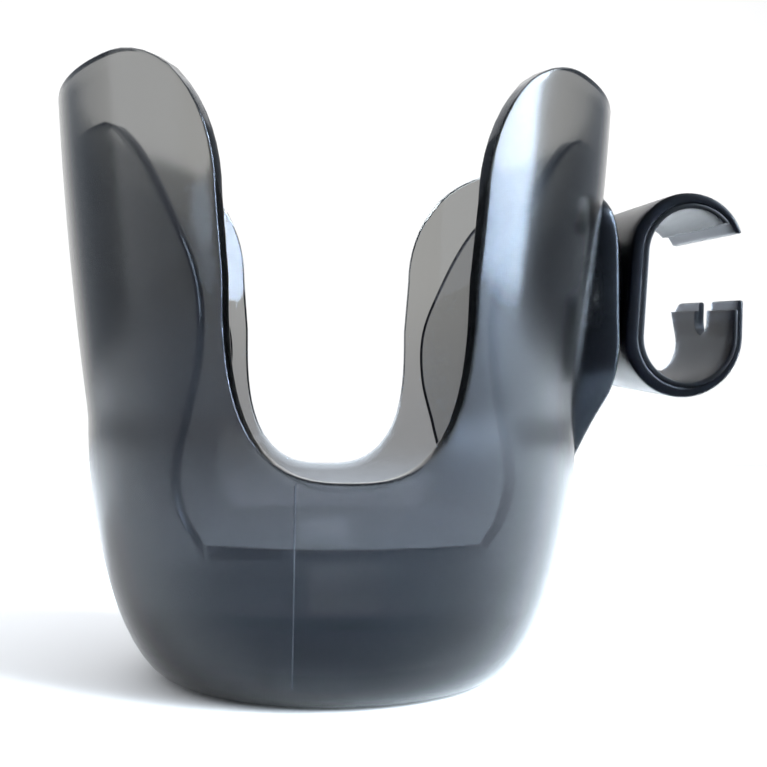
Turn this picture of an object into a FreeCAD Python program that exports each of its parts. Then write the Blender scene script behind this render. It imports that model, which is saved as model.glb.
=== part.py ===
import FreeCAD, Part
import math
import os

# Cup holder with a swivelling snap clip. Millimetres, +Z up.
# The origin is the centre of the cup's underside. +X is the clip side, -Y the front.

# Cup shell, outside
cup_height = 88.0
top_radius = 44.0
mid_radius = 41.8        # halfway up the cone above the knee
knee_radius = 38.6
knee_height = 39.8
base_radius = 25.0
bowl_power = 1.84        # roundness of the bowl, 2 would be an ellipse
wall = 2.4
ledge_height = 12.2      # the bowl is thicker below this, and carries the insert
ledge_wall = 4.3
section_angles = (0, 9, 22, 36, 50, 64)   # where the bowl's section is sampled, from its foot
section_heights = (50.0, 64.0)            # and the cone's, besides its top

# U slot through the front and the rear wall, measured across the slot
slot_half_bottom = 16.3
slot_half_top = 17.25
slot_floor = 31.2
slot_bend_height = 57.0
slot_ear_height = 67.5   # where the straight side turns out into the ear
slot_ear_half = 33.0
slot_power = 2.8
slot_floor_steps = 10
slot_ear_steps = 8
slot_ear_turn = 76.0     # degrees of the ear's curve that are followed up to the top
slot_overshoot = 1.0     # how far a cutter runs past the top
cutter_inner = 2.0       # distance of a cutter's near end from the axis
cutter_outer = 70.4

# Inner insert
fit_gap = 0.2
insert_wall = 1.5
insert_top = 79.8
insert_floor_top = 13.8
tab_top = 22.7
insert_foot_half = 20.0
tab_half_bottom = 16.1
tab_half_top = 17.7
petal_flank = (          # across and up, from above the tab to the top
    (22.6, 26.3), (23.8, 31.6), (22.4, 38.5), (20.3, 48.0),
    (20.6, 57.0), (24.2, 66.0), (28.9, 74.6), (33.0, 79.3),
)
petal_end = (36.0, 80.4)
slit_width = 0.5
slit_near = 22.0         # the slits and windows are cut between these distances from the axis
slit_far = 42.0
window_half = 4.7
window_bottom = 14.3
window_top = 21.0
window_round = 1.6
hook_half = 4.3
hook_bottom = 14.5
hook_top = 17.6
hook_depth = 1.5
hook_lip = 1.0           # height of the catch's blunt edge
hook_root = 1.2          # how far the catch reaches into the wall
hook_taper = 0.6

# Boss on the +X wall, as the side profile (x, z) and the plan outline (y, z) of one half
boss_face = 43.6
boss_half_width = 13.0
boss_inside = 30.0
boss_foot = 32.6
boss_top = 76.0
boss_crown = ((40.9, boss_top), (42.6, 72.6), (boss_face, 67.5))
boss_fairing = ((boss_face, 51.0), (42.4, 44.8), (39.5, 39.4), (35.8, boss_foot))
boss_shoulder = ((0.0, 76.1), (11.3, 74.8), (boss_half_width, 70.0))
boss_skirt = ((boss_half_width, 51.0), (12.35, 41.0), (9.75, 32.4))
boss_reach = 20.0

# Swivel, on an axis along X
pivot_height = 60.4
web_inner_face = 41.7
recess_radius = 8.6
spigot_radius = 5.0
spigot_gap = 0.08
spigot_end = 41.2
bore_from = 30.0         # bores along the axis are cut between these
bore_to = 50.0
washer_thickness = 0.8
washer_radius = 8.0
spring_thickness = 0.3
spring_inner_gap = 0.3
spring_outer_gap = 0.2
screw_radius = 1.5
screw_end = 45.9
screw_head_radius = 3.0
screw_head_end = 39.3
screw_head_round = 0.5
screw_tip_gap = 0.2
drive_radius = 1.1
drive_depth = 0.7
disc_radius = 10.0
disc_step = 0.5          # the disc is this much smaller than the flange
flange_thickness = 1.8
disc_gap = 0.1
disc_outer_face = 44.4     # where the clip's flange begins

# Clip, a C round an upright oval space. The oval is two circles and their common tangents,
# each circle as centre x, centre z and radius.
clip_outer = ((54.1, 54.15, 9.55), (54.35, 67.45, 9.15))
clip_inner = ((54.8, 54.2, 7.2), (54.9, 67.3, 6.85))
clip_depth = 26.0
liner_wall = 0.8
mouth_bottom = 60.1
mouth_top = 70.5
mouth_left = 57.0
liner_setback = 1.5      # the liner stops this far before each tip of the C
tilt = 5.8               # degrees about the swivel axis, rear end up
notch_centre = -0.4
notch_half = 2.5
notch_depth = 5.6
corner_round = 4.5       # rear corner of the upper arm
arm_rear = (             # rear edge of the lower arm: y from the clip's rear face, and z
    (1.0, 61.1), (-3.2, 60.7), (0.0, 58.5), (-0.4, 58.4), (-5.4, 48.0), (1.0, 46.8),
)
arm_cut_from = 58.5      # the cuts at the tips of the arms work from here outwards
arm_cut_reach = 12.0
corner_inset = 0.8

Vector = FreeCAD.Vector
up = Vector(0, 0, 1)
along_x = Vector(1, 0, 0)
origin = Vector(0, 0, 0)


def spline(points, leave=None):
    """Smooth curve through the points, leaving the first one in a given direction if there is one.

    Its parameter counts the points, so that two such curves with the same number of points run
    in step and can be joined by straight rulings.
    """
    curve = Part.BSplineCurve()
    steps = [float(i) for i in range(len(points))]
    if leave is None:
        curve.interpolate(Points=points, Parameters=steps)
    else:
        curve.interpolate(Points=points, Parameters=steps, Tangents=[leave] * len(points),
                          TangentFlags=[i == 0 for i in range(len(points))])
    return curve.toShape()


def cylinder(radius, x_from, x_to):
    base = Vector(x_from, 0, pivot_height)
    return Part.makeCylinder(radius, x_to - x_from, base, along_x)


def outer_radius(z):
    """Outside radius of the cup at a height: a bowl up to the knee, then a gently curved cone."""
    z = min(max(z, 0.0), cup_height)
    if z < knee_height:
        swell = 1 - (1 - z / knee_height) ** bowl_power
        return base_radius + (knee_radius - base_radius) * swell ** (1 / bowl_power)
    s = (z - knee_height) / (cup_height - knee_height)
    rise = 4 * mid_radius - 3 * knee_radius - top_radius
    curve = 2 * top_radius + 2 * knee_radius - 4 * mid_radius
    return knee_radius + rise * s + curve * s * s


def section_edge(inset):
    """The wall's section from the underside to the top, moved inwards by inset."""
    foot = base_radius - inset / 2
    knee = knee_radius - inset
    points = []
    for angle in section_angles:
        reach = math.sin(math.radians(angle)) ** (2 / bowl_power)
        lift = 1 - math.cos(math.radians(angle)) ** (2 / bowl_power)
        points.append(Vector(foot + (knee - foot) * reach, 0, inset + (knee_height - inset) * lift))
    for z in section_heights + (cup_height,):
        points.append(Vector(outer_radius(z) - inset, 0, z))
    return spline(points, along_x)


def turned(inset):
    """Solid of revolution under the section curve, moved inwards by inset."""
    edge = section_edge(inset)
    low = edge.Vertexes[0].Point
    high = edge.Vertexes[-1].Point
    foot = Part.makeLine(Vector(0, 0, low.z), low)
    lid = Part.makeLine(high, Vector(0, 0, high.z))
    axis = Part.makeLine(Vector(0, 0, high.z), Vector(0, 0, low.z))
    face = Part.Face(Part.Wire([foot, edge, lid, axis]))
    solid = face.revolve(origin, up, 360)
    if solid.Volume < 0:
        solid.reverse()
    return solid


def slab(z_from, z_to):
    return Part.makeCylinder(2 * top_radius, z_to - z_from, Vector(0, 0, z_from))


def radial_cutter(outlines, side):
    """Cuts from the axis outwards, so that the cut edges stand square to the round wall.

    outlines holds curves of (x, z) on the outside of the wall, end to end, for the +X half.
    """
    wires = []
    for y in (cutter_inner, cutter_outer):
        edges = []
        for sign in (1, -1):
            for outline in outlines:
                points = []
                for x, z in outline:
                    r = outer_radius(z)
                    points.append(Vector(sign * y * x / math.sqrt(r * r - x * x), side * y, z))
                if len(points) == 2:
                    edges.append(Part.makeLine(points[0], points[1]))
                else:
                    edges.append(spline(points))
        ends = [edges[len(outlines) - 1].Vertexes[-1].Point, edges[-1].Vertexes[-1].Point]
        edges.append(Part.makeLine(ends[0], ends[1]))
        wires.append(Part.Wire(Part.__sortEdges__(edges)))
    cutter = Part.makeLoft(wires, True, True)
    if cutter.Volume < 0:
        cutter.reverse()
    return cutter


def slot_outlines():
    """Right half of the U: rounded floor, straight side, ear corner."""
    floor = []
    for step in range(slot_floor_steps + 1):
        angle = math.radians(90 * step / slot_floor_steps)
        x = slot_half_bottom * math.sin(angle) ** (2 / slot_power)
        drop = (slot_bend_height - slot_floor) * math.cos(angle) ** (2 / slot_power)
        floor.append((x, slot_bend_height - drop))
    side = [(slot_half_bottom, slot_bend_height), (slot_half_top, slot_ear_height)]
    corner = []
    for step in range(slot_ear_steps + 1):
        angle = math.radians(slot_ear_turn * step / slot_ear_steps)
        x = slot_ear_half - (slot_ear_half - slot_half_top) * math.cos(angle)
        corner.append((x, slot_ear_height + (cup_height - slot_ear_height) * math.sin(angle)))
    run, rise = corner[-1][0] - corner[-2][0], corner[-1][1] - corner[-2][1]
    end = cup_height + slot_overshoot
    reach = (end - corner[-1][1]) / rise
    leave = [corner[-1], (corner[-1][0] + run * reach, end)]
    return [floor, side, corner, leave]


def insert_outlines():
    """Right half of the insert's own opening: flat above the tab, bulged, waisted, then the petal."""
    flat = [(0.0, tab_top), (insert_foot_half, tab_top)]
    return [flat, flat[1:] + list(petal_flank), [petal_flank[-1], petal_end]]


def make_boss():
    """Raised pad on the +X wall, with a fairing that runs down into the bowl."""
    crown = [Vector(x, 0, z) for x, z in boss_crown]
    fairing = [Vector(x, 0, z) for x, z in boss_fairing]
    inner = [Vector(boss_inside, 0, boss_foot), Vector(boss_inside, 0, boss_top)]
    profile = Part.Face(Part.Wire([
        spline(crown), Part.makeLine(crown[-1], fairing[0]), spline(fairing),
        Part.makeLine(fairing[-1], inner[0]), Part.makeLine(inner[0], inner[1]),
        Part.makeLine(inner[1], crown[0]),
    ]))
    profile.translate(Vector(0, -boss_half_width, 0))
    body = profile.extrude(Vector(0, 2 * boss_half_width, 0))
    edges = []
    for sign in (1, -1):
        shoulder = [Vector(boss_inside, sign * y, z) for y, z in boss_shoulder]
        skirt = [Vector(boss_inside, sign * y, z) for y, z in boss_skirt]
        edges += [spline(shoulder), Part.makeLine(shoulder[-1], skirt[0]), spline(skirt)]
    width, low = boss_skirt[-1]
    edges.append(Part.makeLine(Vector(boss_inside, width, low), Vector(boss_inside, -width, low)))
    plan = Part.Face(Part.Wire(Part.__sortEdges__(edges)))
    return body.common(plan.extrude(Vector(boss_reach, 0, 0)))


def make_hook(side):
    """Ramped catch on the inner wall, square underneath."""
    depth_at = outer_radius(hook_bottom) - wall
    back = depth_at + hook_root
    front = depth_at - hook_depth
    points = [
        Vector(-hook_half, side * back, hook_bottom),
        Vector(-hook_half, side * front, hook_bottom),
        Vector(-hook_half, side * front, hook_bottom + hook_lip),
        Vector(-hook_half, side * (depth_at + hook_taper), hook_top),
        Vector(-hook_half, side * back, hook_top),
    ]
    face = Part.Face(Part.makePolygon(points + points[:1]))
    return face.extrude(Vector(2 * hook_half, 0, 0))


def make_cup_shell():
    outside = turned(0.0)
    room = turned(wall).cut(slab(-1.0, ledge_height))
    bowl_room = turned(ledge_wall).common(slab(-1.0, ledge_height))
    cutters = [radial_cutter(slot_outlines(), side) for side in (-1, 1)]
    shell = outside.fuse(make_boss()).removeSplitter()
    shell = shell.cut(room.fuse(bowl_room))
    for cutter in cutters:
        shell = shell.cut(cutter)
    for side in (-1, 1):
        shell = shell.fuse(make_hook(side).common(outside))
    shell = shell.cut(cylinder(spigot_radius + spigot_gap, bore_from, bore_to))
    return shell.cut(cylinder(recess_radius, bore_from, web_inner_face))


def make_cup_insert():
    body = turned(wall + fit_gap).common(slab(ledge_height, insert_top))
    room = turned(wall + fit_gap + insert_wall).common(slab(insert_floor_top, cup_height))
    insert = body.cut(room)
    for side in (-1, 1):
        insert = insert.cut(radial_cutter(insert_outlines(), side))
        insert = insert.cut(make_window(side))
        for flank in (-1, 1):
            insert = insert.cut(make_slit(side, flank))
    return insert


def make_window(side):
    depth = slit_far - slit_near
    box = Part.makeBox(2 * window_half, depth, window_top - window_bottom,
                       Vector(-window_half, 0, window_bottom))
    upper = [e for e in box.Edges
             if abs(e.CenterOfMass.x) > window_half - 0.01 and abs(e.Length - depth) < 0.01
             and e.CenterOfMass.z > window_top - 0.01]
    box = box.makeFillet(window_round, upper)
    box.translate(Vector(0, slit_near if side > 0 else -slit_far, 0))
    return box


def make_slit(side, flank):
    low, high = insert_floor_top, tab_top + slot_overshoot
    slope = (tab_half_top - tab_half_bottom) / (tab_top - low)
    points = []
    for z, offset in ((low, 0), (low, slit_width), (high, slit_width), (high, 0)):
        x = tab_half_bottom + slope * (z - low) + offset
        points.append(Vector(flank * x, side * slit_near, z))
    face = Part.Face(Part.makePolygon(points + points[:1]))
    return face.extrude(Vector(0, side * (slit_far - slit_near), 0))


def oval(circles, grow=0.0):
    """Upright oval of the clip, made larger all round by grow, extruded over the clip's depth."""
    (x1, z1, r1), (x2, z2, r2) = circles
    r1, r2 = r1 + grow, r2 + grow
    span = math.hypot(x2 - x1, z2 - z1)
    lean = math.atan2(x2 - x1, z2 - z1)
    flare = math.asin((r1 - r2) / span)
    y = -clip_depth / 2
    corners = []
    for sign, x, z, r in ((-1, x1, z1, r1), (-1, x2, z2, r2), (1, x2, z2, r2), (1, x1, z1, r1)):
        angle = lean + sign * (math.pi / 2 - flare)
        corners.append(Vector(x + r * math.sin(angle), y, z + r * math.cos(angle)))
    middle = Part.Face(Part.makePolygon(corners + corners[:1])).extrude(Vector(0, clip_depth, 0))
    ends = [Part.makeCylinder(r, clip_depth, Vector(x, y, z), Vector(0, 1, 0))
            for x, z, r in ((x1, z1, r1), (x2, z2, r2))]
    return middle.fuse(ends).removeSplitter()


def mouth(grow):
    """The way in on the +X side."""
    return Part.makeBox(arm_cut_reach, clip_depth + 2, mouth_top - mouth_bottom + 2 * grow,
                        Vector(mouth_left, -clip_depth / 2 - 1, mouth_bottom - grow))


def arm_cuts():
    """Notch in the lower arm, the slope and chamfer of its rear edge, and the upper arm's corner."""
    middle = mouth_bottom - notch_depth + notch_half
    slot = Part.makeBox(arm_cut_reach, 2 * notch_half, notch_depth,
                        Vector(mouth_left, notch_centre - notch_half, middle))
    foot = Part.makeCylinder(notch_half, arm_cut_reach, Vector(mouth_left, notch_centre, middle),
                             along_x)
    rear = clip_depth / 2
    points = [Vector(arm_cut_from, rear + y, z) for y, z in arm_rear]
    slope = Part.Face(Part.makePolygon(points + points[:1])).extrude(Vector(arm_cut_reach, 0, 0))
    near = Vector(clip_outer[1][0] + clip_outer[1][2] - corner_inset - corner_round,
                  rear - corner_round, mouth_top - 2)
    block = Part.makeBox(corner_round + 1, corner_round + 1, arm_cut_reach, near)
    return slot.fuse([foot, slope, block.cut(Part.makeCylinder(corner_round, arm_cut_reach, near))])


def tilted(shape):
    shape.rotate(Vector(0, 0, pivot_height), along_x, tilt)
    return shape


def make_clip_body():
    clip = oval(clip_outer).cut(oval(clip_inner, liner_wall)).cut(mouth(0)).cut(arm_cuts())
    flange = cylinder(disc_radius, disc_outer_face, disc_outer_face + flange_thickness)
    spigot = cylinder(spigot_radius, spigot_end, disc_outer_face + flange_thickness / 2)
    clip = clip.fuse([flange, spigot])
    clip = clip.cut(cylinder(screw_radius, bore_from, screw_end + screw_tip_gap))
    return tilted(clip.removeSplitter())


def make_clip_liner():
    liner = oval(clip_inner, liner_wall).cut(oval(clip_inner))
    return tilted(liner.cut(mouth(liner_setback)).cut(arm_cuts()))


def make_swivel_disc():
    disc = cylinder(disc_radius - disc_step, boss_face + disc_gap, disc_outer_face)
    return disc.cut(cylinder(spigot_radius, bore_from, bore_to))


def make_disc_spring():
    """Coned spring washer between the web and the retaining washer."""
    inner, outer = spigot_radius + spring_inner_gap, washer_radius - spring_outer_gap
    points = [
        Vector(spigot_end, inner, 0), Vector(spigot_end + spring_thickness, inner, 0),
        Vector(web_inner_face, outer, 0), Vector(web_inner_face - spring_thickness, outer, 0),
    ]
    face = Part.Face(Part.makePolygon(points + points[:1]))
    spring = face.revolve(origin, along_x, 360)
    spring.translate(Vector(0, 0, pivot_height))
    return spring


def make_retaining_washer():
    washer = cylinder(washer_radius, spigot_end - washer_thickness, spigot_end)
    return washer.cut(cylinder(screw_radius, bore_from, bore_to))


def make_pivot_screw():
    shank_from = spigot_end - washer_thickness
    head = cylinder(screw_head_radius, screw_head_end, shank_from)
    rim = [e for e in head.Edges if abs(e.CenterOfMass.x - screw_head_end) < 0.01
           and abs(e.Length - 2 * math.pi * screw_head_radius) < 0.01]
    head = head.makeFillet(screw_head_round, rim)
    shank = cylinder(screw_radius, shank_from, screw_end)
    corners = []
    for step in range(7):
        angle = math.radians(60 * step)
        corners.append(Vector(screw_head_end, drive_radius * math.cos(angle),
                              pivot_height + drive_radius * math.sin(angle)))
    drive = Part.Face(Part.makePolygon(corners)).extrude(Vector(drive_depth, 0, 0))
    return head.fuse(shank).removeSplitter().cut(drive)


makers = {
    "cup_shell": make_cup_shell,
    "cup_insert": make_cup_insert,
    "clip_body": make_clip_body,
    "clip_liner": make_clip_liner,
    "swivel_disc": make_swivel_disc,
    "disc_spring": make_disc_spring,
    "retaining_washer": make_retaining_washer,
    "pivot_screw": make_pivot_screw,
}

os.makedirs("parts", exist_ok=True)
for name, make in makers.items():
    shape = make()
    if shape.ShapeType == "Compound" and len(shape.Solids) == 1:
        shape = shape.Solids[0]
    box = shape.BoundBox
    print(name, "valid", shape.isValid(), "solids", len(shape.Solids), "mm3", round(shape.Volume),
          "x", round(box.XMin, 1), round(box.XMax, 1), "y", round(box.YMin, 1), round(box.YMax, 1),
          "z", round(box.ZMin, 1), round(box.ZMax, 1))
    shape.exportStep("parts/" + name + ".step")
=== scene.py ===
# %% [markdown]
# # A smoke-tinted cup holder with a swivelling snap clip
# The holder is a round shell of tinted plastic, cut open at the front and the back by a U.
# A second, thinner insert snaps into it, and a C-shaped clip turns on its right side.
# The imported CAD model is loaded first. It fixes every size and place, so nothing is fitted by eye.

import math

import bpy
from mathutils import Matrix, Vector


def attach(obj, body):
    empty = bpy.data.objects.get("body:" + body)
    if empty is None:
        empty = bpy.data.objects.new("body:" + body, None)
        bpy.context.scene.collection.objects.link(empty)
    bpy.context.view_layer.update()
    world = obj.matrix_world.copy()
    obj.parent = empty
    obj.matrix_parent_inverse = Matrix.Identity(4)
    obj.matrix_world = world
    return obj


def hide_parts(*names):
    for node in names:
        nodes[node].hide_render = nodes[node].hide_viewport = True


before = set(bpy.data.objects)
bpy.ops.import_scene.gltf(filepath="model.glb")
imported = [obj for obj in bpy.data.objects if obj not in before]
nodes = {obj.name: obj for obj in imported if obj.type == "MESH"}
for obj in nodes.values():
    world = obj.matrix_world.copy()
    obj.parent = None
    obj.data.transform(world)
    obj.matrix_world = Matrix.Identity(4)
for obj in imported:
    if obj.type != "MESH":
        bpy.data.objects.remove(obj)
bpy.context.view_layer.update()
scene = bpy.context.scene
MM = 0.001
print("CAD nodes:", sorted(nodes))

# %% [markdown]
# Every finish below is a small tree of nodes. These helpers make a new tree, a noise, a blend, a
# bump, and a reader for the numbers that a mesh carries, so that each finish is a few lines.


# %% Node helpers
def new_material(name):
    material = bpy.data.materials.new(name)
    material.use_nodes = True
    tree = material.node_tree
    tree.nodes.clear()
    output = tree.nodes.new("ShaderNodeOutputMaterial")
    surface = tree.nodes.new("ShaderNodeBsdfPrincipled")
    tree.links.new(surface.outputs["BSDF"], output.inputs["Surface"])
    coords = tree.nodes.new("ShaderNodeTexCoord").outputs["Object"]
    return material, tree, surface, output, coords


def noise(tree, coords, scale, detail=2.0):
    node = tree.nodes.new("ShaderNodeTexNoise")
    node.inputs["Scale"].default_value = scale
    node.inputs["Detail"].default_value = detail
    tree.links.new(coords, node.inputs["Vector"])
    return node.outputs["Fac"]


def spread(tree, value, low, high):
    """Stretches the middle of a noise, 0.3 to 0.7, to the range from low to high."""
    node = tree.nodes.new("ShaderNodeMapRange")
    node.inputs["From Min"].default_value = 0.3
    node.inputs["From Max"].default_value = 0.7
    node.inputs["To Min"].default_value = low
    node.inputs["To Max"].default_value = high
    tree.links.new(value, node.inputs["Value"])
    return node.outputs["Result"]


def blend_colours(tree, share, first, second):
    node = tree.nodes.new("ShaderNodeMix")
    node.data_type = "RGBA"
    node.inputs["A"].default_value = (*first, 1)
    node.inputs["B"].default_value = (*second, 1)
    tree.links.new(share, node.inputs["Factor"])
    return node.outputs["Result"]


def read_mark(tree, name):
    """Reads a number that the mesh itself carries."""
    node = tree.nodes.new("ShaderNodeAttribute")
    node.attribute_name = name
    return node.outputs["Fac"]


def bump(tree, height, surface, strength):
    node = tree.nodes.new("ShaderNodeBump")
    node.inputs["Strength"].default_value = strength
    node.inputs["Distance"].default_value = BUMP_DEPTH
    tree.links.new(height, node.inputs["Height"])
    tree.links.new(node.outputs["Normal"], surface.inputs["Normal"])


BUMP_DEPTH = 0.00002
print("bump depth", BUMP_DEPTH / MM, "mm")

# %% [markdown]
# ## Smoke plastic
# Tinted plastic is dark because light loses strength along its way through it. A thin wall is
# mid grey, and a rim seen along its length is nearly black. A volume that absorbs gives both
# from one number. A moulded skin is satin, and its roughness varies a little from place to place.

# %% Smoke plastic
CLEAR = (0.93, 0.94, 0.95)
GRAIN_SCALE, CLOUD_SCALE, CLOUD_RANGE = 1400.0, 60.0, 0.15


def height_tones(tree, coords, shades):
    """Colour that changes with height, from a list of (share of the cup's height, colour)."""
    height = tree.nodes.new("ShaderNodeSeparateXYZ")
    tree.links.new(coords, height.inputs["Vector"])
    share = tree.nodes.new("ShaderNodeMapRange")
    share.inputs["From Max"].default_value = 0.088
    tree.links.new(height.outputs["Z"], share.inputs["Value"])
    ramp = tree.nodes.new("ShaderNodeValToRGB")
    ramp.color_ramp.interpolation = "EASE"
    while len(ramp.color_ramp.elements) < len(shades):
        ramp.color_ramp.elements.new(0.5)
    for stop, (place, colour) in zip(ramp.color_ramp.elements, shades):
        stop.position = place
        stop.color = (*colour, 1)
    tree.links.new(share.outputs["Result"], ramp.inputs["Fac"])
    return ramp.outputs["Color"]


def smoke_plastic(name, tint, density, rough, grain,
                  gleam=(0.22, 0.26, 0.34), inside=None, shades=None, edge=None):
    material, tree, surface, output, coords = new_material(name)
    surface.inputs["Base Color"].default_value = (*CLEAR, 1)
    if shades is not None:
        tree.links.new(height_tones(tree, coords, shades), surface.inputs["Base Color"])
    if edge is not None:
        tone = blend_colours(tree, read_mark(tree, "edge"), CLEAR, edge)
        tree.links.new(tone, surface.inputs["Base Color"])
    surface.inputs["Transmission Weight"].default_value = 1.0
    surface.inputs["IOR"].default_value = 1.5
    surface.inputs["Specular Tint"].default_value = (*gleam, 1)
    depth = tree.nodes.new("ShaderNodeVolumeAbsorption")
    depth.inputs["Color"].default_value = (*tint, 1)
    depth.inputs["Density"].default_value = density
    tree.links.new(depth.outputs["Volume"], output.inputs["Volume"])
    cloud = noise(tree, coords, CLOUD_SCALE, 3.0)
    satin = spread(tree, cloud, rough * (1 - CLOUD_RANGE), rough * (1 + CLOUD_RANGE))
    if inside is not None:
        choose = tree.nodes.new("ShaderNodeMix")
        choose.inputs["A"].default_value = inside
        tree.links.new(read_mark(tree, "outside"), choose.inputs["Factor"])
        tree.links.new(satin, choose.inputs["B"])
        satin = choose.outputs["Result"]
    tree.links.new(satin, surface.inputs["Roughness"])
    bump(tree, noise(tree, coords, GRAIN_SCALE), surface, grain)
    print(name, "absorbs", density, "a metre, roughness", rough)
    return material


# %% [markdown]
# The bowl is thicker than the ears, and a little darker for it, so the shell also has a tone that
# follows height. The insert is glossier, and its cut edges are nearly black. The clip is a denser
# moulding, so it is the darkest.

# %% The five smoke plastics
BOWL_SHADES = [(0.0, (0.74, 0.77, 0.82)), (0.16, (0.74, 0.77, 0.82)), (0.26, (0.74, 0.75, 0.80)),
               (0.42, (0.72, 0.73, 0.76)), (0.80, (0.92, 0.92, 0.91))]
shell_smoke = smoke_plastic("shell_smoke", (0.43, 0.43, 0.42), 760.0, 0.18, 0.12,
                            inside=0.05, shades=BOWL_SHADES)
insert_smoke = smoke_plastic("insert_smoke", (0.38, 0.38, 0.38), 400.0, 0.04, 0.03,
                             edge=(0.01, 0.01, 0.015))
clip_smoke = smoke_plastic("clip_smoke", (0.24, 0.28, 0.35), 2200.0, 0.34, 0.05,
                           gleam=(0.04, 0.055, 0.09))
liner_smoke = smoke_plastic("liner_smoke", (0.26, 0.29, 0.34), 1800.0, 0.42, 0.05,
                            gleam=(0.05, 0.06, 0.08))
disc_smoke = smoke_plastic("disc_smoke", (0.2, 0.2, 0.22), 900.0, 0.3, 0.1)

# %% [markdown]
# ## Steel
# The spring, the washer and the screw hide inside the wall. They are plated steel: metallic,
# with fine turning lines that make the roughness uneven.


# %% Steel materials
def steel(name, colour, rough):
    material, tree, surface, output, coords = new_material(name)
    surface.inputs["Base Color"].default_value = (*colour, 1)
    surface.inputs["Metallic"].default_value = 1.0
    lines = noise(tree, coords, 1800.0, 4.0)
    tree.links.new(spread(tree, lines, rough * 0.7, rough * 1.4), surface.inputs["Roughness"])
    bump(tree, lines, surface, 0.2)
    print(name, "roughness", rough)
    return material


spring_metal = steel("spring_metal", (0.42, 0.42, 0.43), 0.32)
plated_metal = steel("plated_metal", (0.62, 0.63, 0.65), 0.25)

# %% [markdown]
# A fine light line runs down the front of the bowl: a painted highlight, the reflection of a strip light,
# painted as a colour lighter than the clear wall round it. Its tone comes and goes along its length.

# %% Painted reflection material
painted_reflection, tree, surface, output, coords = new_material("painted_reflection")
# painted highlight: the tone of the painted reflection varies along the line
reflection_tone_share = spread(tree, noise(tree, coords, 220.0, 3.0), 0.0, 1.0)
tone = blend_colours(tree, reflection_tone_share, (0.010, 0.012, 0.016), (0.040, 0.044, 0.055))
tree.links.new(tone, surface.inputs["Base Color"])
surface.inputs["Roughness"].default_value = 0.6
surface.inputs["Specular IOR Level"].default_value = 0.1
print("mould trace made")

# %% [markdown]
# Four CAD nodes are shown as they are. Each keeps its mesh and takes one of these materials. The
# other four are modelled anew below.

# %% Dress the CAD nodes
finish_of = {
    "swivel_disc": disc_smoke,
    "disc_spring": spring_metal,
    "retaining_washer": plated_metal,
    "pivot_screw": plated_metal,
}
for name, finish in finish_of.items():
    nodes[name].data.materials.clear()
    nodes[name].data.materials.append(finish)
    print(name, "wears", finish.name)


# %% [markdown]
# ## The shell
# The shell is one turned wall, round in the bowl and nearly straight above, with a U cut through
# its front and its back. A cut through a finished wall leaves ragged corners that don't take a
# rounding, so here the wall is laid out as rings of faces whose edges already run along the U.
# Eight columns each side of a slot's middle follow its floor, and the rest follow its sides.

# %% Shell sizes, in millimetres
CUP_TOP, KNEE, FOOT = 88.0, 39.8, 25.0
TOP_RADIUS, MID_RADIUS, KNEE_RADIUS = 44.0, 41.8, 38.6
ROUNDNESS = 1.84
WALL, LEDGE_WALL, LEDGE = 2.4, 4.3, 12.2
SLOT_HALF, SLOT_HALF_TOP, SLOT_FLOOR, SLOT_BEND = 16.3, 17.25, 31.2, 57.0
EAR_HALF, EAR_BEND, SLOT_ROUND = 33.0, 67.5, 2.8
COLUMNS, SLOT_COLUMNS = 120, 8
QUARTER = COLUMNS // 4


def wall_radius(z, inset=0.0):
    """Radius of the turned wall at a height, moved inwards by inset."""
    foot, knee = FOOT - inset / 2, KNEE_RADIUS - inset
    if z < KNEE:
        rise = max(0.0, min(1.0, (z - inset) / (KNEE - inset)))
        return foot + (knee - foot) * (1 - (1 - rise) ** ROUNDNESS) ** (1 / ROUNDNESS)
    s = (z - KNEE) / (CUP_TOP - KNEE)
    bend = 2 * TOP_RADIUS + 2 * KNEE_RADIUS - 4 * MID_RADIUS
    return knee + (TOP_RADIUS - KNEE_RADIUS - bend) * s + bend * s * s


print("wall radius at 20, 50 and 80 mm:", [round(wall_radius(z), 2) for z in (20, 50, 80)])

# %% [markdown]
# The U has a floor that is rounder than an ellipse, sides that lean out a little, and two ears
# that are quarter ellipses. Each is one formula, so that the rings can follow it exactly.


# %% Outline of the U
def slot_floor_height(x):
    """Height of the U's rounded floor at x."""
    return SLOT_BEND - (SLOT_BEND - SLOT_FLOOR) * (1 - (x / SLOT_HALF) ** SLOT_ROUND) ** (1 / SLOT_ROUND)


def slot_side(z):
    """Half width of the U at a height."""
    if z < SLOT_BEND:
        drop = (SLOT_BEND - z) / (SLOT_BEND - SLOT_FLOOR)
        return SLOT_HALF * (1 - drop ** SLOT_ROUND) ** (1 / SLOT_ROUND)
    if z < EAR_BEND:
        return SLOT_HALF + (SLOT_HALF_TOP - SLOT_HALF) * (z - SLOT_BEND) / (EAR_BEND - SLOT_BEND)
    lift = (z - EAR_BEND) / (CUP_TOP - EAR_BEND)
    return EAR_HALF - (EAR_HALF - SLOT_HALF_TOP) * math.sqrt(1 - lift * lift)


def ear_top(x):
    """Height of the ear's upper edge at x."""
    if x > EAR_HALF:
        return CUP_TOP
    across = (EAR_HALF - x) / (EAR_HALF - SLOT_HALF_TOP)
    return EAR_BEND + (CUP_TOP - EAR_BEND) * math.sqrt(max(0.0, 1 - across * across))


HALF = 0.5 ** (1 / SLOT_ROUND)
LOW_CORNER = (SLOT_HALF * HALF, SLOT_BEND - (SLOT_BEND - SLOT_FLOOR) * HALF)
HIGH_CORNER = (EAR_HALF - (EAR_HALF - SLOT_HALF_TOP) * math.sqrt(0.5),
               EAR_BEND + (CUP_TOP - EAR_BEND) * math.sqrt(0.5))
print("U corner at", [round(v, 1) for v in LOW_CORNER], "ear corner at", [round(v, 1) for v in HIGH_CORNER])

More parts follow.
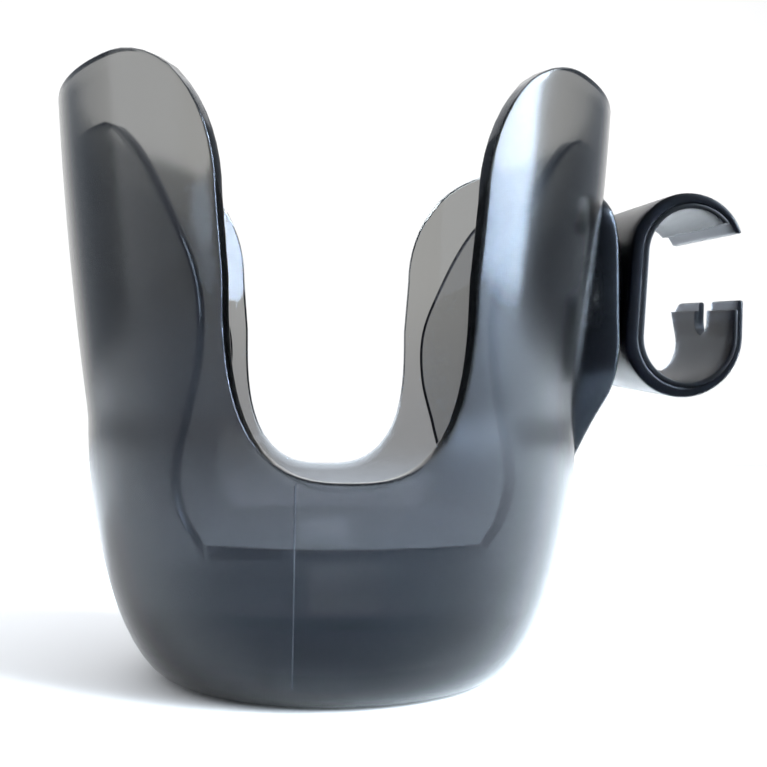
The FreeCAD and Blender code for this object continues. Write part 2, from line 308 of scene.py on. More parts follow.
# %% [markdown]
# Each ring vertex has a column and a row. Its turn about the axis and its height come from
# those two, so the rows that meet the U bend down to its floor, and the columns lean to its side.

# %% Where a shell vertex goes
CALM = 17.4          # below this height the rings are level and evenly spaced
BELOW_LEDGE, ABOVE_LEDGE = LEDGE - 0.05, LEDGE + 0.05
BOWL_ROWS = [0.0, 0.24, 0.94, 2.1, 3.7, 5.8, 8.2, 10.6, BELOW_LEDGE, ABOVE_LEDGE, 14.6, CALM,
             20.0, 22.6, 25.2, 27.8, 30.2, 32.5, 34.7, LOW_CORNER[1]]
EAR_ROWS = 22


def from_slot(ring_column):
    """Columns from the middle of the nearer slot, 0 to 30."""
    near = ring_column % (COLUMNS // 2)
    return min(near, COLUMNS // 2 - near)


def beside_slot(edge, column):
    """Turn of a column that is spread evenly between the slot's edge and the wall's middle."""
    return edge + (math.pi / 2 - edge) * (column - SLOT_COLUMNS) / (QUARTER - SLOT_COLUMNS)


def on_ring(ring_column, turn, radius, z):
    """Place in metres, with the turn mirrored into the column's own quarter."""
    quarter = (ring_column // QUARTER) % 4
    angle = (turn, math.pi - turn, math.pi + turn, 2 * math.pi - turn)[quarter]
    return Vector((radius * math.sin(angle), radius * math.cos(angle), z)) * MM


def shell_turn_and_height(column, row):
    """Turn from the middle of the nearest slot in radians, and height, for a column 0 to 30."""
    even = math.radians(90.0 * column / QUARTER)
    edge = math.asin(LOW_CORNER[0] / wall_radius(LOW_CORNER[1]))
    low = len(BOWL_ROWS) - 1
    if row <= low:
        z = BOWL_ROWS[row]
        share = max(0.0, (z - CALM) / (LOW_CORNER[1] - CALM))
        lean = beside_slot(edge, column)
        if column <= SLOT_COLUMNS:
            lean = edge * column / SLOT_COLUMNS
            foot = slot_floor_height(wall_radius(LOW_CORNER[1]) * math.sin(lean))
            if z > CALM:
                z = CALM + (foot - CALM) * share
        return even + (lean - even) * share, z
    share = (row - low) / EAR_ROWS
    side_height = LOW_CORNER[1] + (HIGH_CORNER[1] - LOW_CORNER[1]) * share
    edge = math.asin(slot_side(side_height) / wall_radius(side_height))
    high_edge = math.asin(HIGH_CORNER[0] / wall_radius(HIGH_CORNER[1]))
    top_height = HIGH_CORNER[1]
    if column > SLOT_COLUMNS:
        top_height = ear_top(TOP_RADIUS * math.sin(beside_slot(high_edge, column)))
    return beside_slot(edge, column), LOW_CORNER[1] + (top_height - LOW_CORNER[1]) * share


def shell_point(ring_column, row, inner=False):
    """Place of a shell vertex in metres, outside or inside."""
    turn, z = shell_turn_and_height(from_slot(ring_column), row)
    inset = WALL if inner else 0.0
    ledge_row = BOWL_ROWS.index(ABOVE_LEDGE)
    if inner and row < ledge_row:
        inset = LEDGE_WALL
        z = LEDGE_WALL + (LEDGE - LEDGE_WALL) * z / BELOW_LEDGE
    elif inner and row == ledge_row:
        z = LEDGE
    return on_ring(ring_column, turn, wall_radius(z, inset), z)


print("shell rows:", len(BOWL_ROWS) + EAR_ROWS, "of", COLUMNS, "columns")

# %% [markdown]
# An operator works on everything that is selected. These helpers select one object, clear what is
# selected in it, and pick edges or faces by a test, so that each step starts clean.


# %% Small helpers for edit mode
def only(obj):
    bpy.ops.object.select_all(action="DESELECT")
    obj.select_set(True)
    bpy.context.view_layer.objects.active = obj


def edit(obj, mode):
    only(obj)
    bpy.ops.object.mode_set(mode="EDIT")
    bpy.ops.mesh.select_mode(type=mode)
    bpy.ops.mesh.select_all(action="DESELECT")
    bpy.ops.object.mode_set(mode="OBJECT")


def pick(obj, kind, test):
    """Selects the edges or faces that pass the test, then goes back to edit mode."""
    found = 0
    for item in getattr(obj.data, kind):
        item.select = bool(test(item))
        found += item.select
    bpy.ops.object.mode_set(mode="EDIT")
    return found


def face_outward(obj):
    edit(obj, "FACE")
    bpy.ops.object.mode_set(mode="EDIT")
    bpy.ops.mesh.select_all(action="SELECT")
    bpy.ops.mesh.normals_make_consistent(inside=False)
    bpy.ops.object.mode_set(mode="OBJECT")


def finish_modifier(obj, kind, **values):
    only(obj)
    modifier = obj.modifiers.new(kind.lower(), kind)
    for name, value in values.items():
        setattr(modifier, name, value)
    bpy.ops.object.modifier_apply(modifier=modifier.name)


def smooth(obj, degrees):
    only(obj)
    bpy.ops.object.shade_smooth_by_angle(angle=math.radians(degrees))


# %% [markdown]
# A circle is the first ring, and each extrude adds the next one. The faces in the two slots are
# then deleted, Solidify gives the wall its second side, and the vertices take their places. The
# insert is a wall of the same kind, so this is a helper.


# %% Wall from rings
def around(co):
    return math.atan2(co.x, co.y) % (2 * math.pi)


def ringed_wall(name, slot_row, row_count, thickness, place):
    """Closed wall of rings, open at both slots from slot_row up, each vertex put where place says."""
    bpy.ops.object.select_all(action="DESELECT")
    bpy.ops.mesh.primitive_circle_add(vertices=COLUMNS, radius=FOOT * MM, fill_type="NGON",
                                      location=(0, 0, 0))
    wall = bpy.context.object
    wall.name = name
    bpy.ops.object.mode_set(mode="EDIT")
    bpy.ops.mesh.select_all(action="SELECT")
    bpy.ops.mesh.select_mode(type="EDGE")
    for row in range(1, row_count):
        bpy.ops.mesh.extrude_edges_move(TRANSFORM_OT_translate={"value": (0, 0, 1 * MM)})
    bpy.ops.object.mode_set(mode="OBJECT")
    rows = [round(v.co.z / MM) for v in wall.data.vertices]
    columns = [round(around(v.co) / (2 * math.pi) * COLUMNS) % COLUMNS for v in wall.data.vertices]
    for layer, values in (("row", rows), ("column", columns)):
        wall.data.attributes.new(layer, "INT", "POINT").data.foreach_set("value", values)
    edit(wall, "FACE")
    gone = pick(wall, "polygons", lambda f: min(rows[i] for i in f.vertices) >= slot_row
                and max(from_slot(columns[i]) for i in f.vertices) <= SLOT_COLUMNS)
    bpy.ops.mesh.delete(type="FACE")
    bpy.ops.object.mode_set(mode="OBJECT")
    outer_count = len(wall.data.vertices)
    finish_modifier(wall, "SOLIDIFY", thickness=thickness * MM, offset=-1.0, use_rim=True)
    rows = [d.value for d in wall.data.attributes["row"].data]
    columns = [d.value for d in wall.data.attributes["column"].data]
    for v in wall.data.vertices:
        v.co = place(columns[v.index], rows[v.index], inner=v.index >= outer_count)
    wall.data.update()
    print(name, "slot faces removed:", gone, "vertices:", len(wall.data.vertices))
    return wall


# %% [markdown]
# The shell's wall has its U from the last bowl row upwards.

# %% Rings of the shell
shell = ringed_wall("shell_bowl", len(BOWL_ROWS) - 1, len(BOWL_ROWS) + EAR_ROWS, WALL, shell_point)

# %% [markdown]
# The moulded rims are rounded. The edges to round are those where the wall turns sharply, above
# the bowl, so they are found by the angle between their two faces.


# %% Round the rims
def sharp_edges(obj, least, place):
    normals = {}
    for face in obj.data.polygons:
        for key in face.edge_keys:
            normals.setdefault(key, []).append(face.normal)
    points = obj.data.vertices
    found = set()
    for edge in obj.data.edges:
        sides = normals.get(edge.key, [])
        middle = (points[edge.key[0]].co + points[edge.key[1]].co) / 2 / MM
        if len(sides) == 2 and sides[0].angle(sides[1], 0) > math.radians(least) and place(middle):
            found.add(edge.index)
    return found


def round_edges(obj, least, place, size, steps):
    """Rounds the edges sharper than least degrees whose middle, in millimetres, passes the test."""
    sharp = sharp_edges(obj, least, place)
    edit(obj, "EDGE")
    count = pick(obj, "edges", lambda e: e.index in sharp)
    bpy.ops.mesh.bevel(offset=size * MM, segments=steps, affect="EDGES", clamp_overlap=True)
    bpy.ops.object.mode_set(mode="OBJECT")
    face_outward(obj)
    print(obj.name, "edges rounded:", count, "faces now", len(obj.data.polygons))


RIM_ROUND, RIM_STEPS = 1.05, 4
round_edges(shell, 50, lambda p: p.z > SLOT_FLOOR - 1, RIM_ROUND, RIM_STEPS)
smooth(shell, 35)
shell.data.materials.append(shell_smoke)

# %% [markdown]
# ## Boss, catches and bore
# What is added to the wall or cut from it is made with Boolean modifiers. The tools are slabs,
# blocks and rods, and a smooth curve through a few points gives the slabs their outlines.


# %% Curve and Boolean helpers
def through(points, z):
    """Smooth value at a height from a short list of (value, height), lowest first."""
    slopes = []
    for i in range(len(points)):
        a, b = points[max(0, i - 1)], points[min(len(points) - 1, i + 1)]
        slopes.append((b[0] - a[0]) / (b[1] - a[1]))
    for i in range(len(points) - 1):
        (v0, z0), (v1, z1) = points[i], points[i + 1]
        if z <= z1 or i == len(points) - 2:
            t = max(0.0, min(1.0, (z - z0) / (z1 - z0)))
            d = z1 - z0
            return (v0 * (1 + 2 * t) * (1 - t) ** 2 + slopes[i] * d * t * (1 - t) ** 2
                    + v1 * t * t * (3 - 2 * t) + slopes[i + 1] * d * t * t * (t - 1))


def combine(body, tool, operation):
    finish_modifier(body, "BOOLEAN", operation=operation, solver="EXACT", object=tool)
    bpy.data.objects.remove(tool)


def slab(name, across, along):
    """Closed slab of squares, one unit on each side: a grid and a second layer above it."""
    bpy.ops.object.select_all(action="DESELECT")
    bpy.ops.mesh.primitive_grid_add(x_subdivisions=across, y_subdivisions=along, size=1.0, location=(0, 0, 0))
    piece = bpy.context.object
    piece.name = name
    bpy.ops.object.mode_set(mode="EDIT")
    bpy.ops.mesh.select_all(action="SELECT")
    bpy.ops.mesh.extrude_region_move(TRANSFORM_OT_translate={"value": (0, 0, 1.0)})
    bpy.ops.object.mode_set(mode="OBJECT")
    return piece


def block(corner):
    """Cube with each corner where corner says, told for X, Y and Z whether it is the high side."""
    bpy.ops.object.select_all(action="DESELECT")
    bpy.ops.mesh.primitive_cube_add(size=1.0, location=(0, 0, 0))
    tool = bpy.context.object
    for v in tool.data.vertices:
        v.co = Vector(corner(v.co.x > 0, v.co.y > 0, v.co.z > 0)) * MM
    face_outward(tool)
    return tool


def rod(radius, x_from, x_to, height, sides=96):
    """A round tool along X."""
    bpy.ops.object.select_all(action="DESELECT")
    bpy.ops.mesh.primitive_cylinder_add(
        vertices=sides, radius=radius * MM, depth=(x_to - x_from) * MM,
        location=((x_from + x_to) / 2 * MM, 0, height * MM), rotation=(0, math.pi / 2, 0))
    bpy.ops.object.transform_apply(location=True, rotation=True, scale=True)
    return bpy.context.object


# %% [markdown]
# The right wall carries a raised pad for the swivel, which runs down into the bowl as a fairing.
# It starts as a grid, because a grid can be given a profile and an outline row by row. Its back
# lies inside the wall, so that a Boolean union leaves one skin.

# %% Boss
PIVOT = 60.4
BOSS_PROFILE = [(36.6, 32.6), (39.5, 39.4), (42.4, 44.8), (43.55, 50.0), (43.6, 56.0),
                (43.6, 64.0), (43.45, 68.5), (42.6, 72.6), (40.9, 76.1)]
BOSS_HALF = [(9.7, 32.4), (12.3, 41.0), (13.0, 51.0), (13.0, 68.0), (12.6, 72.5), (11.2, 74.8)]
BOSS_LOW, BOSS_HIGH = BOSS_HALF[0][1], BOSS_HALF[-1][1]
CROWN_FROM, CROWN_RISE = 0.7, 1.3
LEAST_PROUD = 0.2
boss = slab("boss", 16, 36)
for v in boss.data.vertices:
    across, along, front = 2 * v.co.x, v.co.y + 0.5, v.co.z > 0.5
    z = BOSS_LOW + along * (BOSS_HIGH - BOSS_LOW)
    y = across * through(BOSS_HALF, z)
    z += max(0.0, along - CROWN_FROM) / (1 - CROWN_FROM) * CROWN_RISE * (1 - across * across)
    mid_wall = math.sqrt((wall_radius(z) - WALL / 2) ** 2 - y * y)
    x = max(through(BOSS_PROFILE, z), mid_wall + LEAST_PROUD) if front else mid_wall
    v.co = Vector((x, y, z)) * MM
boss.data.update()
round_edges(boss, 40, lambda p: p.x > math.sqrt(wall_radius(p.z) ** 2 - p.y ** 2) + 0.1, 0.8, 3)
combine(shell, boss, "UNION")
print("shell with boss:", len(shell.data.polygons), "faces")

# %% [markdown]
# The clip's spigot passes through a bore in the boss. On the inside the bore is wider, because the
# washer and its spring sit there.

# %% Bores
SPIGOT_HOLE, RECESS, WEB = 5.08, 8.6, 41.7
BORE_FROM, BORE_TO = 30, 50
combine(shell, rod(SPIGOT_HOLE, BORE_FROM, BORE_TO, PIVOT), "DIFFERENCE")
combine(shell, rod(RECESS, BORE_FROM, WEB, PIVOT), "DIFFERENCE")
print("shell with bores:", len(shell.data.polygons), "faces")

# %% [markdown]
# The insert is held down by a catch at the front and one at the back: a wedge on the inside of the
# wall, sloped on top so that the insert can ride over it, and square below.

# %% Catches inside the two windows
CATCH_HALF, CATCH_LOW, CATCH_HIGH, CATCH_DEPTH, CATCH_ROOT = 4.3, 14.5, 17.6, 1.5, 0.7
catch_wall = wall_radius(CATCH_LOW) - WALL
for side_y in (-1, 1):
    def catch_corner(right, outward, high):
        reach = catch_wall + CATCH_ROOT if outward else catch_wall - (0.0 if high else CATCH_DEPTH)
        x = CATCH_HALF if right else -CATCH_HALF
        return x, side_y * reach, CATCH_HIGH if high else CATCH_LOW

    combine(shell, block(catch_corner), "UNION")
smooth(shell, 28)
print("shell with catches:", len(shell.data.polygons), "faces")

# %% [markdown]
# The outside of the wall is satin and the inside is smooth, so each vertex says which it is on.

# %% Mark the outside of the wall
SKIN = 1.4
outside = shell.data.attributes.new("outside", "FLOAT", "POINT")
for v in shell.data.vertices:
    away = wall_radius(v.co.z / MM) - math.hypot(v.co.x, v.co.y) / MM
    outside.data[v.index].value = 1.0 if away < SKIN else 0.0
print("vertices outside:", sum(d.value > 0.5 for d in outside.data))

# %% [markdown]
# A thin ridge runs down the front of the bowl a little left of the middle, far thinner than the wall.
# It carries a painted highlight: the reflection of a strip light, painted in as a light line.

# %% Ridge for the painted reflection
LINE_X, LINE_LOW, LINE_HIGH = -6.8, 3.6, 30.9
LINE_HALF, LINE_PROUD, LINE_ROOT = 0.11, 0.07, 0.03
reflection_ridge = slab("reflection_ridge", 2, 48)
for v in reflection_ridge.data.vertices:
    z = LINE_LOW + (v.co.y + 0.5) * (LINE_HIGH - LINE_LOW)
    x = LINE_X + 2 * v.co.x * LINE_HALF
    proud = LINE_PROUD * (1 - abs(2 * v.co.x)) if v.co.z > 0.5 else -LINE_ROOT
    v.co = Vector((x, -math.sqrt((wall_radius(z) + proud) ** 2 - x * x), z)) * MM
face_outward(reflection_ridge)
# the ridge wears the painted highlight colour
reflection_ridge.data.materials.append(painted_reflection)
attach(reflection_ridge, "cup")
print("mould line faces:", len(reflection_ridge.data.polygons))

# %% [markdown]
# ## The insert
# A thinner liner of the same plastic stands inside the shell. It has a floor, a low snap tab
# with a window at the front and the back, and a petal behind each ear. It's laid out in rings
# as the shell is, and a curve down each petal's flank takes the place of the U's side.

# %% Where an insert vertex goes
INSERT_OUT, INSERT_IN = 2.6, 4.1
INSERT_FLOOR, TAB_TOP, PETAL_TOP = 13.8, 22.7, 79.8
FLANK = [(20.0, 22.7), (22.6, 26.3), (23.8, 31.6), (22.4, 38.5), (20.3, 48.0), (20.6, 57.0),
         (24.2, 66.0), (28.9, 74.6), (33.0, 79.3), (34.4, 79.8)]
TAB_ROWS = [12.2, 12.6, 15.4, 17.2, 19.0, 20.8, TAB_TOP]
PETAL_ROWS = 40


def insert_point(ring_column, row, inner=False):
    """Place of an insert vertex in metres, outside or inside."""
    column = from_slot(ring_column)
    low = len(TAB_ROWS) - 1
    if row <= low:
        z = TAB_ROWS[row]
        edge = math.asin(FLANK[0][0] / wall_radius(TAB_TOP))
    else:
        z = TAB_TOP + (PETAL_TOP - TAB_TOP) * (row - low) / PETAL_ROWS
        edge = math.asin(through(FLANK, z) / wall_radius(z))
    turn = edge * column / SLOT_COLUMNS if column <= SLOT_COLUMNS else beside_slot(edge, column)
    if inner and row < 2:
        z = INSERT_FLOOR + 0.4 * row
    return on_ring(ring_column, turn, wall_radius(z, INSERT_IN if inner else INSERT_OUT), z)


print("insert rows:", len(TAB_ROWS) + PETAL_ROWS)

# %% [markdown]
# The same ring helper makes the wall. The rims of the tabs and petals get a small rounding, as
# thin mouldings have.

# %% Rings of the insert
insert = ringed_wall("insert_petals", len(TAB_ROWS) - 1, len(TAB_ROWS) + PETAL_ROWS,
                     INSERT_IN - INSERT_OUT, insert_point)
round_edges(insert, 50, lambda p: p.z > TAB_TOP - 1, 0.45, 2)

# %% [markdown]
# Each tab has a window for the catch, with its two upper corners rounded, and a slit on either
# side, so that the tab can spring. All six are cut with plain tools.

# %% Windows and slits
WINDOW_HALF, WINDOW_LOW, WINDOW_HIGH, WINDOW_ROUND = 4.7, 14.3, 21.0, 1.6
SLIT_LOW, SLIT_HIGH, SLIT_WIDTH = 16.1, 17.7, 0.5
CUT_NEAR, CUT_FAR = 22, 42
for side_y in (-1, 1):
    bpy.ops.object.select_all(action="DESELECT")
    bpy.ops.mesh.primitive_cube_add(
        size=1.0, scale=(2 * WINDOW_HALF * MM, (CUT_FAR - CUT_NEAR) * MM, (WINDOW_HIGH - WINDOW_LOW) * MM),
        location=(0, side_y * (CUT_NEAR + CUT_FAR) / 2 * MM, (WINDOW_LOW + WINDOW_HIGH) / 2 * MM))
    window = bpy.context.object
    bpy.ops.object.transform_apply(location=True, rotation=True, scale=True)
    edit(window, "EDGE")
    points = window.data.vertices
    pick(window, "edges", lambda e: min(points[i].co.z for i in e.vertices) > (WINDOW_HIGH - 0.1) * MM
         and abs(points[e.vertices[0]].co.x - points[e.vertices[1]].co.x) < 1e-6)
    bpy.ops.mesh.bevel(offset=WINDOW_ROUND * MM, segments=6, affect="EDGES")
    bpy.ops.object.mode_set(mode="OBJECT")
    combine(insert, window, "DIFFERENCE")
    for side_x in (-1, 1):
        def slit_corner(outer, far, high):
            z = TAB_TOP + 1 if high else INSERT_FLOOR
            x = SLIT_LOW + (SLIT_HIGH - SLIT_LOW) * (z - INSERT_FLOOR) / (TAB_TOP - INSERT_FLOOR)
            return side_x * (x + SLIT_WIDTH * outer), side_y * (CUT_FAR if far else CUT_NEAR), z

        combine(insert, block(slit_corner), "DIFFERENCE")
smooth(insert, 28)
print("insert with windows and slits:", len(insert.data.polygons), "faces")

# %% [markdown]
# The cut edges of clear plastic look dark, because light runs along the sheet and doesn't come
# back. So the faces of the rim, and of the foot's corner, carry a mark that the material reads.

# %% Mark the insert's edges
RIM_FROM, RIM_TURN, FOOT_TURN = TAB_TOP - 0.6, 0.955, 0.3
edge_mark = insert.data.attributes.new("edge", "FLOAT", "FACE")
for face in insert.data.polygons:
    spoke = Vector((face.center.x, face.center.y, 0)).normalized()
    facing = face.normal.dot(spoke)
    rim = face.center.z > RIM_FROM * MM and abs(facing) < RIM_TURN
    foot = face.center.z < TAB_ROWS[1] * MM and facing > FOOT_TURN
    edge_mark.data[face.index].value = 1.0 if rim or foot else 0.0
insert.data.materials.clear()
insert.data.materials.append(insert_smoke)
print("dark edge faces:", sum(d.value > 0.5 for d in edge_mark.data))

# %% [markdown]
# ## The clip
# The clip is a C round an upright oval: two circles and the straight sides between them. Its
# wall is a strip that follows the oval from one tip to the other, so it starts as a grid whose
# long side runs round the C. The front edge is what shows first, so it gets a real rounding.

# %% Outline of the clip
CLIP_OUTER = ((54.1, 54.15, 9.55), (54.35, 67.45, 9.15))
CLIP_INNER = ((54.8, 54.2, 7.2), (54.9, 67.3, 6.85))
LINER_WALL, CLIP_DEPTH, CLIP_TILT = 0.8, 26.0, 5.8
MOUTH_LOW, MOUTH_HIGH, LINER_SETBACK = 60.1, 70.5, 1.5
PATH_STEPS = (4, 34, 10, 30)


def between(start, end, steps):
    """Points from start towards end, without end itself."""
    return [(start[0] + (end[0] - start[0]) * i / steps, start[1] + (end[1] - start[1]) * i / steps)
            for i in range(steps)]


def oval_path(circles, grow, low_tip, high_tip):
    """Points (x, z) round the oval, from the lower tip by the left side to the upper tip."""
    (x1, z1, r1), (x2, z2, r2) = circles
    r1, r2 = r1 + grow, r2 + grow
    lean = math.atan2(x2 - x1, z2 - z1)
    flare = math.asin((r1 - r2) / math.hypot(x2 - x1, z2 - z1))
    right_side = lean + math.pi / 2 - flare
    left_side = lean - math.pi / 2 + flare

    def on_low(a):
        return x1 + r1 * math.sin(a), z1 + r1 * math.cos(a)

    def on_high(a):
        return x2 + r2 * math.sin(a), z2 + r2 * math.cos(a)

    foot, head = on_low(right_side), on_high(right_side)
    share = (low_tip - foot[1]) / (head[1] - foot[1])
    tip = (foot[0] + (head[0] - foot[0]) * share, low_tip)
    line, bowl, back, crown = PATH_STEPS
    sweep = 2 * math.pi + left_side - right_side
    end = math.acos((high_tip - z2) / r2)
    points = between(tip, foot, line)
    points += [on_low(right_side + sweep * i / bowl) for i in range(bowl)]
    points += between(on_low(left_side), on_high(left_side), back)
    points += [on_high(left_side + (end - left_side) * i / crown) for i in range(crown + 1)]
    return points


print("points round the clip:", sum(PATH_STEPS) + 1)

# %% [markdown]
# A strip between two such paths is the C. The same helper makes the clip's body and its liner.


# %% Strip helper
def c_strip(name, outer, inner, rounding, steps):
    """Closed C between two paths, over the clip's depth, with all its outlines rounded."""
    count = len(outer) - 1
    strip = slab(name, count, 8)
    for v in strip.data.vertices:
        path = outer if v.co.z > 0.5 else inner
        x, z = path[round((v.co.x + 0.5) * count)]
        v.co = Vector((x, v.co.y * CLIP_DEPTH, z)) * MM
    strip.data.update()
    round_edges(strip, 50, lambda p: True, rounding, steps)
    return strip


# %% [markdown]
# The arms are trimmed by flat cutters: a U notch in the lower arm, a slanted rear edge below the
# mouth, and a tool for the rear corner of the upper arm.

# %% Cutters for the arms
NOTCH_MIDDLE, NOTCH_HALF, NOTCH_DEPTH = -0.4, 2.5, 5.6
REAR_EDGE = [(1.0, 61.1), (-3.2, 60.7), (0.0, 58.5), (-0.4, 58.4), (-5.4, 48.0), (1.0, 46.8)]
CUT_FROM, CUT_TO = 58.5, 70.5
CORNER_ROUND, CORNER_INSET = 4.5, 0.8
CORNER_LOW, CORNER_HIGH = MOUTH_HIGH - 2, MOUTH_HIGH + 10


def plate_cutter(outline, x_from, x_to):
    """Closed cutter from an outline of (y, z), swept along X."""
    bpy.ops.object.select_all(action="DESELECT")
    bpy.ops.mesh.primitive_circle_add(vertices=len(outline), radius=1.0, fill_type="NGON")
    cutter = bpy.context.object
    for v, (y, z) in zip(cutter.data.vertices, outline):
        v.co = Vector((x_from, y, z)) * MM
    bpy.ops.object.mode_set(mode="EDIT")
    bpy.ops.mesh.select_all(action="SELECT")
    bpy.ops.mesh.extrude_region_move(TRANSFORM_OT_translate={"value": ((x_to - x_from) * MM, 0, 0)})
    bpy.ops.object.mode_set(mode="OBJECT")
    face_outward(cutter)
    return cutter


def cut_arms(piece):
    low = MOUTH_LOW - NOTCH_DEPTH + NOTCH_HALF
    notch = [(NOTCH_MIDDLE - NOTCH_HALF, MOUTH_LOW + 2), (NOTCH_MIDDLE + NOTCH_HALF, MOUTH_LOW + 2)]
    for step in range(17):
        a = math.pi * step / 16
        notch.append((NOTCH_MIDDLE + NOTCH_HALF * math.cos(a), low - NOTCH_HALF * math.sin(a)))
    rear = [(CLIP_DEPTH / 2 + y, z) for y, z in REAR_EDGE]
    for outline in (notch, rear):
        combine(piece, plate_cutter(outline, CUT_FROM, CUT_TO), "DIFFERENCE")
    cx = CLIP_OUTER[1][0] + CLIP_OUTER[1][2] - CORNER_INSET - CORNER_ROUND
    cy = CLIP_DEPTH / 2 - CORNER_ROUND
    far = CORNER_ROUND + 1
    corner = [(far, 0), (far, far), (0, far)]
    corner += [(CORNER_ROUND * math.sin(a), CORNER_ROUND * math.cos(a))
               for a in [math.pi / 2 * step / 12 for step in range(13)]]
    cutter = plate_cutter([(0, 0)] * len(corner), 0, 1)
    for v in cutter.data.vertices:
        x, y = corner[v.index % len(corner)]
        v.co = Vector((cx + x, cy + y, CORNER_HIGH if v.index >= len(corner) else CORNER_LOW)) * MM
    face_outward(cutter)
    combine(piece, cutter, "DIFFERENCE")


# %% [markdown]
# The body is the C with a round flange against the cup and a spigot for the screw. The liner is a
# thin C inside it, and stops a little before the tips.

# %% Clip body and its liner
FLANGE, FLANGE_FROM, FLANGE_TO, FLANGE_ROUND = 10.0, 44.4, 46.2, 0.3
SPIGOT, SPIGOT_FROM, SPIGOT_TO, SCREW_HOLE, SCREW_TO = 5.0, 41.2, 45.3, 1.5, 46.1
LINER_TIPS = (MOUTH_LOW - LINER_SETBACK, MOUTH_HIGH + LINER_SETBACK)
clip = c_strip("clip_c", oval_path(CLIP_OUTER, 0.0, MOUTH_LOW, MOUTH_HIGH),
               oval_path(CLIP_INNER, LINER_WALL, MOUTH_LOW, MOUTH_HIGH), 0.5, 3)
flange = rod(FLANGE, FLANGE_FROM, FLANGE_TO, PIVOT)
edit(flange, "EDGE")
points = flange.data.vertices
pick(flange, "edges", lambda e: max(points[i].co.x for i in e.vertices) < (FLANGE_FROM + 0.01) * MM)
bpy.ops.mesh.bevel(offset=FLANGE_ROUND * MM, segments=2, affect="EDGES")
bpy.ops.object.mode_set(mode="OBJECT")
combine(clip, flange, "UNION")
combine(clip, rod(SPIGOT, SPIGOT_FROM, SPIGOT_TO, PIVOT), "UNION")
combine(clip, rod(SCREW_HOLE, BORE_FROM, SCREW_TO, PIVOT, sides=48), "DIFFERENCE")
liner = c_strip("clip_pad", oval_path(CLIP_INNER, LINER_WALL, *LINER_TIPS),
                oval_path(CLIP_INNER, 0.0, *LINER_TIPS), 0.2, 2)


# %% [markdown]
# Both are trimmed, tilted a little about the swivel, and told which body they ride on.

# %% Trim, tilt and dress the clip
centre = Matrix.Translation((0, 0, PIVOT * MM))
tilt = centre @ Matrix.Rotation(math.radians(CLIP_TILT), 4, "X") @ centre.inverted()
for piece, finish, slot in ((clip, clip_smoke, "clip_plastic"), (liner, liner_smoke, "liner_plastic")):
    cut_arms(piece)
    piece.data.transform(tilt)
    smooth(piece, 30)
    piece.data.materials.clear()
    piece.data.materials.append(finish)
    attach(piece, "clip")
    print(piece.name, "faces", len(piece.data.polygons))
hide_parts("clip_body")
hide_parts("clip_liner")

# %% [markdown]
# The shell and the insert stay still, so they ride on the cup and stand for its two CAD nodes.

# %% Bodies
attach(shell, "cup")
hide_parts("cup_shell")
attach(insert, "cup")
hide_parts("cup_insert")
print("the shell and the insert ride on the cup")

# %% [markdown]
# ## Floor and light
# A broad pale floor and an even white surround give the plain studio look. The floor has a faint
# unevenness of gloss, as paper has.

# %% Floor
FLOOR_WIDTH, FLOOR_GAP = 1.9, 0.0002
bpy.ops.object.select_all(action="DESELECT")
bpy.ops.mesh.primitive_plane_add(size=FLOOR_WIDTH, location=(0, 0, -FLOOR_GAP))
floor = bpy.context.object
floor.name = "studio_floor"
paper, paper_tree, paper_surface, _, paper_coords = new_material("floor_paper")
paper_surface.inputs["Base Color"].default_value = (0.93, 0.93, 0.93, 1)
paper_surface.inputs["Specular IOR Level"].default_value = 0.1
paper_grain = noise(paper_tree, paper_coords, 40.0, 4.0)
paper_tree.links.new(spread(paper_tree, paper_grain, 0.75, 0.9), paper_surface.inputs["Roughness"])
floor.data.materials.append(paper)
print("floor", round(floor.dimensions.x, 2), "m wide")

# %% [markdown]
# Smoke plastic shows what is behind it, so the surround does most of the work. It is white behind
# the cup and grey in front, and the grey keeps the near wall from filling with reflections.

# %% Surround
world = bpy.data.worlds.new("soft_surround")
world.use_nodes = True
sky = world.node_tree
way = sky.nodes.new("ShaderNodeTexCoord").outputs["Generated"]
split = sky.nodes.new("ShaderNodeSeparateXYZ")
sky.links.new(way, split.inputs["Vector"])
fade = sky.nodes.new("ShaderNodeMapRange")
for name, value in (("From Min", -1.0), ("From Max", 1.0), ("To Min", 0.0), ("To Max", 1.0)):
    fade.inputs[name].default_value = value
sky.links.new(split.outputs["Y"], fade.inputs["Value"])
tones = sky.nodes.new("ShaderNodeValToRGB")
tones.color_ramp.interpolation = "EASE"
for stop, place, colour in zip(tones.color_ramp.elements, (0.82, 0.94), ((0.36, 0.40, 0.46), (1, 1, 1))):
    stop.position = place
    stop.color = (*colour, 1)
sky.links.new(fade.outputs["Result"], tones.inputs["Fac"])
sky.links.new(tones.outputs["Color"], sky.nodes["Background"].inputs["Color"])
sky.nodes["Background"].inputs["Strength"].default_value = 1.06
scene.world = world
scene.view_settings.view_transform = "Standard"
print("surround strength", round(sky.nodes["Background"].inputs["Strength"].default_value, 2))

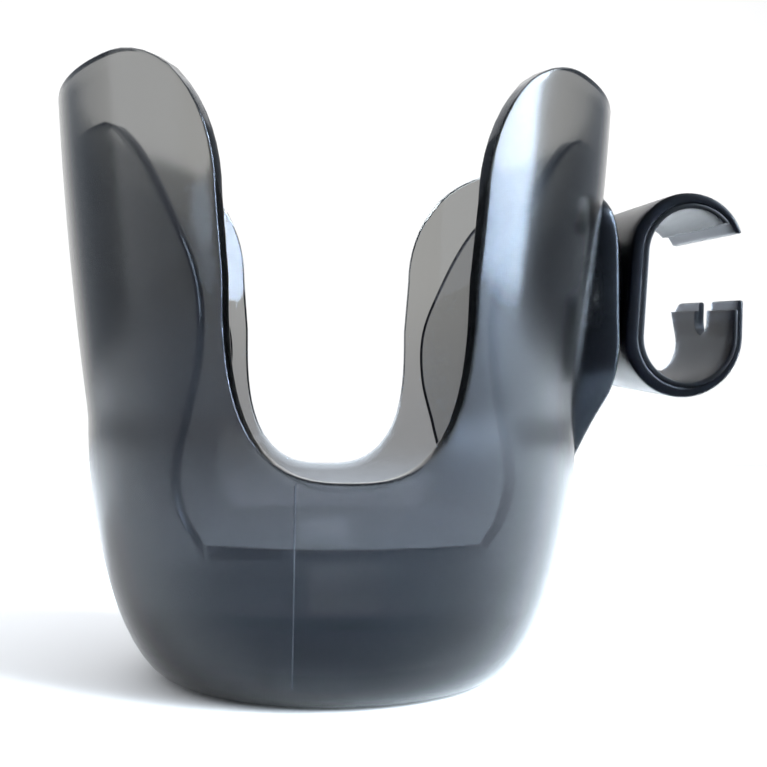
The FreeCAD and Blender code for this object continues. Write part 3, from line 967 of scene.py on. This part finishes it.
# %% [markdown]
# Three soft panels add to it. A large one on the right gives the long satin highlight on that
# side, a weak one lifts the left, and a wide one overhead lights the floor. They don't show through
# the plastic, because a small bright lamp seen through a rough clear wall leaves specks.


# %% Soft panels
def soft_panel(name, place, target, width, height, power, colour):
    lamp = bpy.data.lights.new(name, "AREA")
    lamp.shape = "RECTANGLE"
    lamp.size, lamp.size_y = width, height
    lamp.energy = power
    lamp.color = colour
    panel = bpy.data.objects.new(name, lamp)
    scene.collection.objects.link(panel)
    look = Vector(target) - Vector(place)
    panel.matrix_world = Matrix.Translation(place) @ look.to_track_quat("-Z", "Y").to_matrix().to_4x4()
    panel.visible_transmission = False
    print(name, power, "W")


soft_panel("right_panel", (0.55, -0.30, 0.30), (0.02, 0, 0.05), 0.42, 0.60, 36.0, (0.80, 0.91, 1.0))
soft_panel("left_panel", (-0.60, -0.10, 0.30), (-0.02, 0, 0.05), 0.40, 0.60, 1.2, (1.0, 0.99, 0.96))
soft_panel("overhead_panel", (0.0, 0.20, 0.90), (0, 0.2, 0), 1.8, 1.8, 11.0, (1.0, 1.0, 1.0))

# %% [markdown]
# ## Camera
# The camera stands level with the middle of the cup, close in front of it, and looks very
# slightly upwards, so that the U shows the far wall through the near one.

# %% Camera
camera_data = bpy.data.cameras.new("camera")
camera_data.sensor_width = 36.0
camera_data.lens = 47.079
camera_data.clip_start = 0.005
camera = bpy.data.objects.new("camera", camera_data)
scene.collection.objects.link(camera)
scene.camera = camera
yaw, pitch, roll = 0.0996, 0.0448, 0.0084
level = Vector((math.sin(yaw), math.cos(yaw), 0))
side = Vector((math.cos(yaw), -math.sin(yaw), 0))
up = Vector((0, 0, 1))
ahead = level * math.cos(pitch) + up * math.sin(pitch)
top = up * math.cos(pitch) - level * math.sin(pitch)
right = side * math.cos(roll) + top * math.sin(roll)
top = top * math.cos(roll) - side * math.sin(roll)
turn = Matrix((right, top, -ahead)).transposed().to_4x4()
camera.matrix_world = Matrix.Translation(Vector((-8.4255, -163.6976, 38.1318)) * MM) @ turn
print("lens", round(camera_data.lens, 2), "mm")
